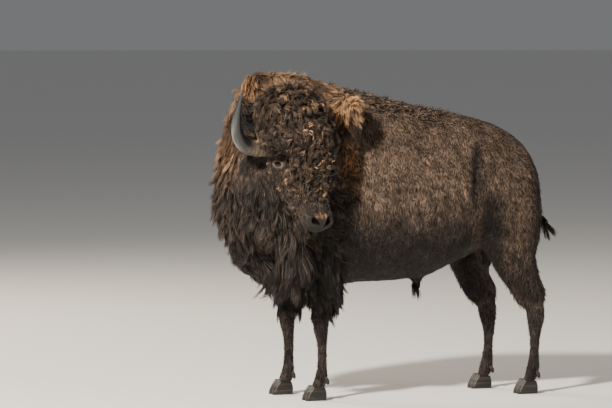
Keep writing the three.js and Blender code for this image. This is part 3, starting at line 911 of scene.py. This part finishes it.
# Each group: the kinds of coat in it, its slot, and the steps along one tuft.
GROUPS = {
    "crown": (("crown_wool",), "head_wool", 5),
    "face": (("head", "muzzle", "jaw", "ear"), "head_wool", 4),
    "neck": (("neck",), "cape_wool", 4),
    "mane": (("beard", "throat_mane"), "long_hair", 4),
    "cape": (("forequarters", "shoulder_wool"), "cape_wool", 4),
    "chaps": (("foreleg_upper",), "long_hair", 4),
    "flank": (("barrel",), "short_coat", 2),
    "rump": (("hindquarters", "hindleg_upper", "scrotum"), "short_coat", 2),
    "shank": (("leg_lower", "tail"), "short_coat", 2),
    "tassel": (("tail_tuft", "sheath"), "long_hair", 4),
}
PIECE_LIMIT = 180000  # triangles
PATCH = 0.003  # how wide a tuft's place on the map is
ROOTED = 0.06  # share of a tuft that is under the skin
LOCK_PULL = 0.70
EVEN_REACH = 0.55  # how far up a long tuft its shade is that of a short one

hair_finish = Finish(
    "hair", Roughness=0.58, Specular_IOR_Level=0.24, Sheen_Weight=0.03, Sheen_Roughness=0.45
)
hair_colour, *_ = fur_colour(hair_finish)
hair_material = hair_finish.surface(Base_Color=hair_colour)


def unwrapped(faces):
    """Lays some faces of the skin out flat and returns where their corners come."""
    used, renumbered = np.unique(corners[faces], return_inverse=True)
    sheet = bpy.data.meshes.new("pattern")
    sheet.from_pydata(place[used], [], renumbered.reshape(-1, 3))
    carrier = added("pattern", sheet)
    bpy.context.view_layer.objects.active = carrier
    carrier.select_set(True)
    bpy.ops.object.mode_set(mode="EDIT")
    bpy.ops.mesh.select_all(action="SELECT")
    bpy.ops.uv.smart_project(angle_limit=math.radians(66), island_margin=0.004)
    bpy.ops.object.mode_set(mode="OBJECT")
    flat = read(sheet.uv_layers.active.data, "uv", 2)
    bpy.data.objects.remove(carrier)
    return flat.reshape(-1, 3, 2)


def turned(vectors, axis, angle):
    """Vectors turned about unit axes by angles."""
    cosine = np.cos(angle)[:, None]
    sine = np.sin(angle)[:, None]
    along_axis = axis * (vectors * axis).sum(1, keepdims=True)
    return vectors * cosine + np.cross(axis, vectors) * sine + along_axis * (1 - cosine)


def nearest(points, seeds):
    """For each point, the number of the nearest of the seeds."""
    tree = KDTree(len(seeds))
    for number, seed in enumerate(seeds):
        tree.insert(seed, number)
    tree.balance()
    return np.array([tree.find(point)[1] for point in points])


def paths(root, normal, heading, size, steps, rng):
    """The middle lines of tufts, as steps + 1 points each, with each lock's shade and its share of
    straw tips, partly burrs and partly painted highlights.

    Some of the roots are drawn as the seeds of locks. Every tuft belongs to the nearest seed's
    lock: it sways, curls and grows much as the lock does, and is pulled towards its middle.
    """
    count = len(root)
    seed_share = (size["spacing"] / size["lock"]).mean() ** 2
    seeds = rng.choice(count, max(1, int(count * seed_share)), replace=False)
    lock = nearest(root, root[seeds])
    leader = seeds[lock]
    sway = rng.normal(0, 0.42, len(seeds))[lock] + rng.normal(0, 0.16, count)
    heading = turned(heading, normal, sway)
    swing = (rng.uniform(-np.pi, np.pi, len(seeds)) * 0.8)[lock] + rng.normal(0, 0.25, count)
    curl_axis = turned(np.cross(normal, heading), normal, swing)
    curl = size["curl"] * 2 * np.pi * rng.uniform(0.7, 1.3, len(seeds))[lock]
    curl = curl * rng.uniform(0.85, 1.15, count)
    length = size["length"] * rng.uniform(0.78, 1.22, len(seeds))[lock]
    length = length * rng.uniform(0.75, 1.15, count)
    rise = np.radians(size["rise"]) * rng.uniform(0.7, 1.3, count)
    heading = heading * np.cos(rise)[:, None] + normal * np.sin(rise)[:, None]
    line = [root - normal * (length * ROOTED)[:, None]]
    for step in range(steps):
        bend = 2 * (step + 0.5) / steps
        heading = turned(heading, curl_axis, curl * bend / steps)
        heading = unit(heading + down * (size["droop"] * bend / steps)[:, None])
        line.append(line[-1] + heading * (length / steps)[:, None])
    line = np.stack(line, 1)
    share_along = np.linspace(0, 1, steps + 1) ** 1.5
    pull = LOCK_PULL * (0.15 + 0.85 * size["contrast"])
    pull = pull[:, None, None] * share_along[None, :, None]
    line = line + (line[leader] - line) * pull
    lock_shade = rng.random(len(seeds))[lock]
    lock_burr_and_highlight = (rng.random(len(seeds))[lock] < size["bleached"]) * rng.uniform(0.2, 1.0, count)
    return line, lock_shade, lock_burr_and_highlight


def tufts(name, line, normal, width, uv, values):
    """One mesh of closed three-sided blades along the lines."""
    count, rings = line.shape[:2]
    steps = rings - 1
    along_line = unit(np.gradient(line, axis=1))
    across = unit(np.cross(along_line, normal[:, None] + 0.35 * np.roll(along_line, 1, axis=2)))
    upward = np.cross(across, along_line)
    t = np.linspace(0, 1, rings)
    profile = (1 - t**1.8) * (0.62 + 0.38 * np.minimum(1, t / 0.25))
    half = (width[:, None] * profile[None] / 2)[:, :, None]
    # Three points to a ring, and the last ring drawn together into one point.
    section = [across * half, -across * half, upward * half * 0.8]
    ring_points = np.stack([line + offset for offset in section], 2)[:, :-1]
    block = np.concatenate([ring_points.reshape(count, -1, 3), line[:, -1:]], 1)
    each = block.shape[1]
    tip = each - 1
    # The faces of one tuft as numbers of its points, and where their corners lie in its patch.
    sides = []
    place_on_map = []
    for ring in range(steps - 1):
        for j in range(3):
            low = 3 * ring
            high = low + 3
            sides.append((low + j, low + (j + 1) % 3, high + (j + 1) % 3, high + j))
            u0, u1 = j / 3, (j + 1) / 3
            v0, v1 = ring / steps, (ring + 1) / steps
            place_on_map.append(((u0, v0), (u1, v0), (u1, v1), (u0, v1)))
    last = 3 * (steps - 1)
    ends = []
    for j in range(3):
        ends.append((last + j, last + (j + 1) % 3, tip))
        v0 = (steps - 1) / steps
        place_on_map.append(((j / 3, v0), ((j + 1) / 3, v0), ((j + 0.5) / 3, 1)))
    ends.append((2, 1, 0))
    place_on_map.append(((0.0, 0.0), (0.5, 0.0), (0.25, 0.12)))
    faces = sides + ends
    pattern = np.array([corner for face in faces for corner in face])
    totals = np.array([len(face) for face in faces])
    starts = np.concatenate([[0], np.cumsum(totals)[:-1]])
    per_tuft = len(pattern)
    # The same faces for every tuft, each with its own points.
    mesh = bpy.data.meshes.new(name)
    mesh.vertices.add(count * each)
    mesh.loops.add(count * per_tuft)
    mesh.polygons.add(count * len(faces))
    mesh.vertices.foreach_set("co", block.astype(np.float32).ravel())
    shift = np.arange(count)[:, None]
    corner_points = pattern[None] + shift * each
    mesh.loops.foreach_set("vertex_index", corner_points.astype(np.int32).ravel())
    first_corners = starts[None] + shift * per_tuft
    mesh.polygons.foreach_set("loop_start", first_corners.astype(np.int32).ravel())
    mesh.update(calc_edges=True)
    patch = np.array([spot for face in place_on_map for spot in face])
    flat = uv[:, None] + (patch[None] - 0.5) * PATCH
    mesh.uv_layers.new(name="OFBake").data.foreach_set("uv", flat.astype(np.float32).ravel())
    reach = np.append(np.repeat(t[:-1], 3), 1)
    for key, value in values.items():
        full = np.repeat(value[:, None], each, 1)
        if key == "tuft":
            contrast = value[:, :1]
            even_shade = EVEN_REACH + 0.20 * (1 - contrast)
            full[:, :, 0] = even_shade + (reach[None] - EVEN_REACH) * (0.25 + 0.75 * contrast)
        give(mesh, key, full.reshape(-1, 3))
    return mesh


def at_roots(values, roots):
    """Values on the skin's vertices, blended by weights on the corners of each root's face."""
    face_corners, weights = roots
    weights = weights.reshape(-1, 3, *[1] * (values.ndim - 1))
    return (values[face_corners] * weights).sum(1)


for group, (kinds, slot_name, steps) in GROUPS.items():
    rng = np.random.default_rng(sum(map(ord, group)))
    mine = np.flatnonzero(np.isin(face_kind, [KINDS.index(kind) for kind in kinds]))
    total = face_roots[mine].sum()
    triangles_each = 6 * (steps - 1) + 4
    pieces = int(np.ceil(total * triangles_each / PIECE_LIMIT))
    order = mine[np.argsort(place[corners[mine, 0], 0], kind="stable")]
    share_done = np.cumsum(face_roots[order]) / total
    for number in range(pieces):
        faces = order[(share_done > number / pieces) & (share_done <= (number + 1) / pieces)]
        flat = unwrapped(faces)
        running = np.cumsum(face_roots[faces])
        wanted = int(running[-1])
        pick = (np.arange(wanted) + rng.random(wanted)) * running[-1] / wanted
        chosen = np.minimum(np.searchsorted(running, pick), len(faces) - 1)
        weight = np.sqrt(rng.random(wanted))
        turn = rng.random(wanted)
        bary = np.column_stack((1 - weight, weight * (1 - turn), weight * turn))
        roots = (corners[faces[chosen]], bary)
        root = at_roots(place, roots)
        normal = unit(at_roots(outwards, roots))
        heading = unit(at_roots(lie, roots))
        size = {key: at_roots(values, roots) for key, values in coat.items()}
        size["bleached"] = at_roots(bleached, roots)
        line, lock_shade, lock_burr_and_highlight = paths(root, normal, heading, size, steps, rng)
        shade = 0.35 * rng.random(wanted) + 0.65 * lock_shade
        shade = 0.5 + (shade - 0.5) * (0.35 + 0.65 * size["contrast"])
        # Painted shade: tufts in the hollows and under the body are darker.
        shade = shade * at_roots(painted_shade_factor, roots)
        width = size["width"] * rng.uniform(0.7, 1.25, wanted)
        uv = (flat[chosen] * bary[:, :, None]).sum(1).clip(PATCH, 1 - PATCH)
        values = {
            "root_place": root,
            "markings": at_roots(markings, roots),
            "tuft": np.column_stack((size["contrast"], shade, lock_burr_and_highlight)),
        }
        name = f"coat_{group}" + (f"_{number + 1}" if pieces > 1 else "")
        mesh = tufts(name, line, normal, width, uv, values)
        piece = finished(name, mesh, hair_material)
        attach(piece, "root")

# ---------- eyes ----------
# Two wet balls, nearly black, with a dark brown iris and a level slot of a pupil. They sit under
# the lids and look out sideways and ahead.

PUPIL = (0.34, 0.17)  # half of its width and of its height, in radii of the ball
PUPIL_BLACK = (0.002, 0.002, 0.003, 1)
IRIS = 0.80
IRIS_DARK = (0.004, 0.002, 0.001, 1)
IRIS_BROWN = (0.014, 0.006, 0.003, 1)
EYE_WHITE = (0.20, 0.15, 0.12, 1)
eye_finish = Finish(
    "wet_eye", Roughness=0.06, Specular_IOR_Level=0.22, Coat_Weight=0.12, Coat_Roughness=0.03
)
seen_across, seen_up, _ = eye_finish.parts(eye_finish.attribute("gaze"))
slot_shape = (seen_across * (1 / PUPIL[0])) ** 2 + (seen_up * (1 / PUPIL[1])) ** 2
off_centre = (seen_across**2 + seen_up**2) ** 0.5
spokes = eye_finish.noise(eye_finish.attribute("gaze"), 14.0, 3.0)
iris_colour = eye_finish.mix(IRIS_DARK, IRIS_BROWN, spokes)
white_colour = eye_finish.mix(iris_colour, EYE_WHITE, off_centre.ramp(IRIS, IRIS + 0.08))
ball_colour = eye_finish.mix(PUPIL_BLACK, white_colour, slot_shape.ramp(0.85, 1.15))
eye_material = eye_finish.surface(Base_Color=ball_colour)

for side, (centre, gaze, corner_line, upright) in eye_frames.items():
    ball = bmesh.new()
    bmesh.ops.create_uvsphere(ball, u_segments=48, v_segments=28, radius=EYE_RADIUS)
    ball_data = to_data(f"eyeball_{side}", ball)
    shape = positions(ball_data)
    give(ball_data, "gaze", unit(shape) @ np.array([corner_line, upright, gaze]).T)
    move_to(ball_data, from_head(shape + centre))
    eyeball = finished(f"eyeball_{side}", ball_data, eye_material)
    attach(eyeball, "root")
    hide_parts(f"eye_{side}")

# ---------- horns ----------
# Sheaths of black-grey horn over the bony cores, rough and ringed at the root, polished towards
# the point. The animal's left one is worn shorter.

# The right horn's middle line in the head's frame, turned over to the left side, and its radius.
HORN_LINE = [
    (-0.014, 0.120, -0.004, 0.047),
    (-0.018, 0.215, -0.022, 0.046),
    (-0.028, 0.305, -0.008, 0.042),
    (-0.056, 0.374, 0.060, 0.033),
    (-0.104, 0.404, 0.164, 0.022),
    (-0.172, 0.398, 0.286, 0.005),
]
WORN_LINE = [
    *HORN_LINE[:2],
    (-0.026, 0.290, -0.012, 0.036),
    (-0.044, 0.328, 0.034, 0.026),
    (-0.054, 0.338, 0.060, 0.015),
]
HORN_STEPS = 64
HORN_SIDES = 28
RING_COUNT = 7
RINGED_SHARE = 0.42
RING_HEIGHT = 0.014  # as a share of the horn's radius
HORN_BLACK = (0.012, 0.013, 0.015, 1)
HORN_GREY = (0.185, 0.190, 0.190, 1)
HORN_POINT = (0.016, 0.017, 0.020, 1)
ROOT_BROWN = (0.185, 0.135, 0.078, 1)
ROOT_DARK = (0.045, 0.038, 0.030, 1)


def through(stations, share):
    """The point a share of the way along a smooth line through the stations."""
    spans = len(stations) - 1
    span = min(int(share * spans), spans - 1)
    t = share * spans - span
    rows = np.array(stations)
    before = rows[span - 1] if span > 0 else 2 * rows[0] - rows[1]
    after = rows[span + 2] if span + 2 <= spans else 2 * rows[-1] - rows[-2]
    low, high = rows[span], rows[span + 1]
    first, second = (high - before) / 2, (after - low) / 2
    cube = 2 * low - 2 * high + first + second
    square = 3 * high - 3 * low - 2 * first - second
    return ((cube * t + square) * t + first) * t + low


horn_finish = Finish(
    "horn", Roughness=0.34, Specular_IOR_Level=0.5, Coat_Weight=0.15, Coat_Roughness=0.2
)
up_horn, round_x, round_y = horn_finish.parts(horn_finish.attribute("horn_place"))
grain_inputs = {0: up_horn * 2.5, 1: round_x * 3.0, 2: round_y * 3.0}
grain = horn_finish.noise(horn_finish.add("CombineXYZ", inputs=grain_inputs), 2.2, 4.0, 0.6)
ring_inputs = {0: up_horn * 30.0, 1: round_x * 0.8, 2: round_y * 0.8}
rings = horn_finish.noise(horn_finish.add("CombineXYZ", inputs=ring_inputs), 1.6, 3.0, 0.6)
# The outer side of each horn is lighter grey: partly weathered horn, partly a painted sheen.
weathered_and_sheen = (grain + (round_x - 0.2) * 0.32).ramp(0.46, 1.05)
shaft = horn_finish.mix(HORN_BLACK, HORN_GREY, weathered_and_sheen)
shaft = horn_finish.mix(shaft, HORN_POINT, up_horn.ramp(0.62, 0.85))
rough_root = horn_finish.mix(ROOT_BROWN, ROOT_DARK, rings.ramp(0.35, 0.62))
horn_colour = horn_finish.mix(rough_root, shaft, (up_horn + (grain - 0.5) * 0.25).ramp(0.20, 0.46))
rough_share = 1 - up_horn.ramp(0.25, 0.50)
bump_inputs = {"Height": grain * 0.5 + rings * rough_share, "Distance": 0.004, "Strength": 0.6}
horn_bump = horn_finish.add("Bump", inputs=bump_inputs)
horn_roughness = 0.62 - up_horn.ramp(0.15, 0.55) * 0.32
horn_material = horn_finish.surface(
    Base_Color=horn_colour, Normal=horn_bump, Roughness=horn_roughness
)

for side, sign in (("left", 1), ("right", -1)):
    stations = WORN_LINE if side == "left" else HORN_LINE
    sheath_shape = bmesh.new()
    ring = bmesh.ops.create_circle(sheath_shape, segments=HORN_SIDES, radius=1.0)["verts"]
    edges = list(sheath_shape.edges)
    for step in range(HORN_STEPS + 1):
        if step:
            grown = bmesh.ops.extrude_edge_only(sheath_shape, edges=edges)["geom"]
            ring = [item for item in grown if isinstance(item, bmesh.types.BMVert)]
            edges = [item for item in grown if isinstance(item, bmesh.types.BMEdge)]
        share_up = step / HORN_STEPS
        along_x, along_y, along_z, radius = through(stations, share_up)
        before = through(stations, max(0, share_up - 0.01))[:3]
        after = through(stations, min(1, share_up + 0.01))[:3]
        centre = from_head(np.array((along_x, along_y * sign, along_z)))
        axis = unit(((after - before) * (1, sign, 1)) @ HEAD_AXES)
        sideways = unit(np.cross(axis, HEAD_AXES[0]))
        other = np.cross(axis, sideways)
        ringed = fade(RINGED_SHARE * 0.5, RINGED_SHARE, share_up)
        wave = math.sin(2 * math.pi * RING_COUNT * share_up / RINGED_SHARE)
        ridge = 1 + RING_HEIGHT * ringed * wave
        for number, vertex in enumerate(ring):
            angle = 2 * math.pi * number / HORN_SIDES
            arm = math.cos(angle) * sideways + math.sin(angle) * other
            vertex.co = centre + radius * ridge * arm
    open_edges = [edge for edge in sheath_shape.edges if edge.is_boundary]
    bmesh.ops.holes_fill(sheath_shape, edges=open_edges, sides=0)
    bmesh.ops.recalc_face_normals(sheath_shape, faces=sheath_shape.faces)
    horn_data = to_data(f"horn_sheath_{side}", sheath_shape)
    order = np.arange(len(horn_data.vertices))
    upward = order // HORN_SIDES / HORN_STEPS
    around = 2 * np.pi * (order % HORN_SIDES) / HORN_SIDES
    give(horn_data, "horn_place", np.column_stack((upward, sign * np.cos(around), np.sin(around))))
    horn = finished(f"horn_sheath_{side}", horn_data, horn_material)
    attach(horn, "root")
    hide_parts(f"horn_{side}")

# ---------- hooves ----------
# Each foot has two claws, capsules of black horn with flat soles that carry the weight, and two
# small dewclaws of the same horn set into the back of the leg above them.

HOOF_BLACK = (0.012, 0.011, 0.010, 1)
HOOF_BROWN = (0.042, 0.035, 0.028, 1)
HOOF_ROUNDING = 0.003
NEARLY_FLAT = math.radians(4)
# How deep a dewclaw is set into the leg, how far its root leans, and how much its point narrows.
SPUR_SUNK = 0.003
SPUR_LEAN = 0.012
SPUR_TAPER = 0.45
hoof_finish = Finish("hoof", Roughness=0.48, Specular_IOR_Level=0.30)
hoof_place = hoof_finish.add("TexCoord", output="Object")
level = hoof_finish.add("Mapping", inputs={"Vector": hoof_place, "Scale": (6, 6, 120)})
growth = hoof_finish.noise(level, 1.0, 3.0)
hoof_colour = hoof_finish.mix(HOOF_BLACK, HOOF_BROWN, growth.ramp(0.4, 0.75))
hoof_bump = hoof_finish.add("Bump", inputs={"Height": growth, "Distance": 0.0015, "Strength": 0.6})
hoof_material = hoof_finish.surface(Base_Color=hoof_colour, Normal=hoof_bump)

for node in CLAWS:
    capsule = bmesh.new()
    capsule.from_mesh(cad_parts[node].data)
    bmesh.ops.remove_doubles(capsule, verts=capsule.verts, dist=SAME_PLACE)
    bmesh.ops.dissolve_limit(
        capsule, angle_limit=NEARLY_FLAT, verts=capsule.verts, edges=capsule.edges
    )
    bmesh.ops.bevel(
        capsule, geom=capsule.edges, offset=HOOF_ROUNDING, offset_type="OFFSET", affect="EDGES",
        segments=2, profile=0.5, material=-1, clamp_overlap=True,
    )
    capsule_data = to_data(f"{node}_capsule", capsule)
    claw = finished(f"{node}_capsule", capsule_data, hoof_material)
    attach(claw, "root")
    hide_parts(node)

for node in DEWCLAWS:
    low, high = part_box(node)
    spur = bmesh.new()
    bmesh.ops.create_uvsphere(spur, u_segments=20, v_segments=12, radius=0.5)
    bmesh.ops.scale(spur, vec=high - low, verts=spur.verts)
    bmesh.ops.translate(spur, vec=(low + high) / 2, verts=spur.verts)
    # Its root leans into the leg and its point hangs clear of it.
    for vertex in spur.verts:
        rise = (vertex.co.z - low.z) / (high.z - low.z)
        vertex.co.x -= SPUR_SUNK + SPUR_LEAN * rise
        vertex.co.y += (1 - rise) * SPUR_TAPER * ((low.y + high.y) / 2 - vertex.co.y)
    spur_data = to_data(f"{node}_spur", spur)
    spur_object = finished(f"{node}_spur", spur_data, hoof_material)
    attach(spur_object, "root")
    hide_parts(node)
